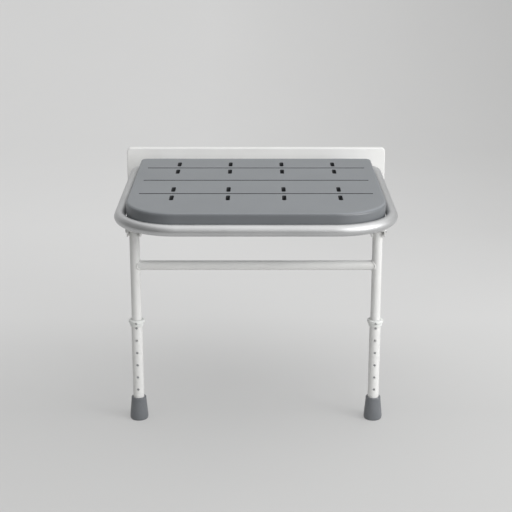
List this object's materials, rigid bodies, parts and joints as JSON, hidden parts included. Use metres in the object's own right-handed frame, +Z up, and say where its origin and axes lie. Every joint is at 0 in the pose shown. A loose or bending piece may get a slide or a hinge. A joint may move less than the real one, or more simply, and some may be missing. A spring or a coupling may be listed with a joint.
{
  "type": "fold down wall seat",
  "caption": "Fold down wall seat: a moulded slotted seat in a bent tube frame, hinged on a wall plate, with a pair of folding, height adjustable legs on rubber feet.",
  "frame": {"origin": "on the floor, under the middle of the unfolded seat's bounding box", "axes": "+Z is up, +Y points to the wall, the seat's front faces -Y and +X is to the right of someone who looks at the wall"},
  "size_m": [0.57, 0.548, 0.445],
  "materials": {
    "white_coat": "smooth white powder coat, satin",
    "tube_metal": "satin stainless steel",
    "seat_plastic": "mid grey moulded polymer, fine matt grain",
    "bearing_nylon": "grey nylon",
    "collar_plastic": "pale moulded plastic",
    "cap_plastic": "pale moulded plastic",
    "foot_rubber": "dark grey rubber, matt",
    "screw_steel": "stainless steel fasteners",
    "spacer_steel": "zinc plated steel",
    "spring_steel": "spring steel strip",
    "insert_brass": "plain brass"
  },
  "bodies": {
    "wall_bracket": {"wall_plate": "white_coat", "wall_spacers": "spacer_steel", "hinge_base_left": "bearing_nylon", "hinge_base_right": "bearing_nylon", "hinge_cap_left": "bearing_nylon", "hinge_cap_right": "bearing_nylon", "hinge_cap_screws": "screw_steel", "hinge_cap_nuts": "screw_steel"},
    "seat": {"seat_frame": "tube_metal", "tube_ring_left": "bearing_nylon", "tube_ring_right": "bearing_nylon", "front_rail": "tube_metal", "middle_rail": "tube_metal", "rear_rail": "tube_metal", "seat_pad": "seat_plastic", "seat_inserts": "insert_brass", "seat_screws": "screw_steel", "leg_bracket_left": "white_coat", "leg_bracket_right": "white_coat", "pivot_bolt_left": "screw_steel", "pivot_bolt_right": "screw_steel", "pivot_nuts": "screw_steel"},
    "legs": {"upper_leg_left": "white_coat", "upper_leg_right": "white_coat", "cross_bar": "white_coat", "pivot_bushes_left": "bearing_nylon", "pivot_bushes_right": "bearing_nylon", "leg_cap_left": "cap_plastic", "leg_cap_right": "cap_plastic", "snap_spring_left": "spring_steel", "snap_spring_right": "spring_steel"},
    "extension_left": {"extension_tube_left": "white_coat", "collar_left": "collar_plastic", "collar_screw_left": "screw_steel", "rubber_foot_left": "foot_rubber", "foot_disc_left": "spacer_steel"},
    "button_left": {"snap_button_left": "screw_steel"},
    "extension_right": {"extension_tube_right": "white_coat", "collar_right": "collar_plastic", "collar_screw_right": "screw_steel", "rubber_foot_right": "foot_rubber", "foot_disc_right": "spacer_steel"},
    "button_right": {"snap_button_right": "screw_steel"}
  },
  "joints": [
    {"name": "seat_fold", "type": "hinge", "parent": "wall_bracket", "child": "seat", "pos_m": [0, 0.228, 0.405], "axis": [-1, 0, 0], "range_deg": [0, 90]},
    {"name": "legs_fold", "type": "hinge", "parent": "seat", "child": "legs", "pos_m": [0, -0.187, 0.3835], "axis": [1, 0, 0], "range_deg": [0, 88]},
    {"name": "extension_left_slide", "type": "slide", "parent": "legs", "child": "extension_left", "axis": [0, 0, -1], "range_m": [-0.0508, 0.0254], "deforming": ["snap_button_left"]},
    {"name": "button_left_press", "type": "slide", "parent": "legs", "child": "button_left", "axis": [0, 1, 0], "range_m": [0, 0.0036], "stiffness_N_per_m": 1500, "springref_m": -0.001, "deforming": ["snap_spring_left"]},
    {"name": "extension_right_slide", "type": "slide", "parent": "legs", "child": "extension_right", "axis": [0, 0, -1], "range_m": [-0.0508, 0.0254], "deforming": ["snap_button_right"]},
    {"name": "button_right_press", "type": "slide", "parent": "legs", "child": "button_right", "axis": [0, 1, 0], "range_m": [0, 0.0036], "stiffness_N_per_m": 1500, "springref_m": -0.001, "deforming": ["snap_spring_right"]}
  ]
}
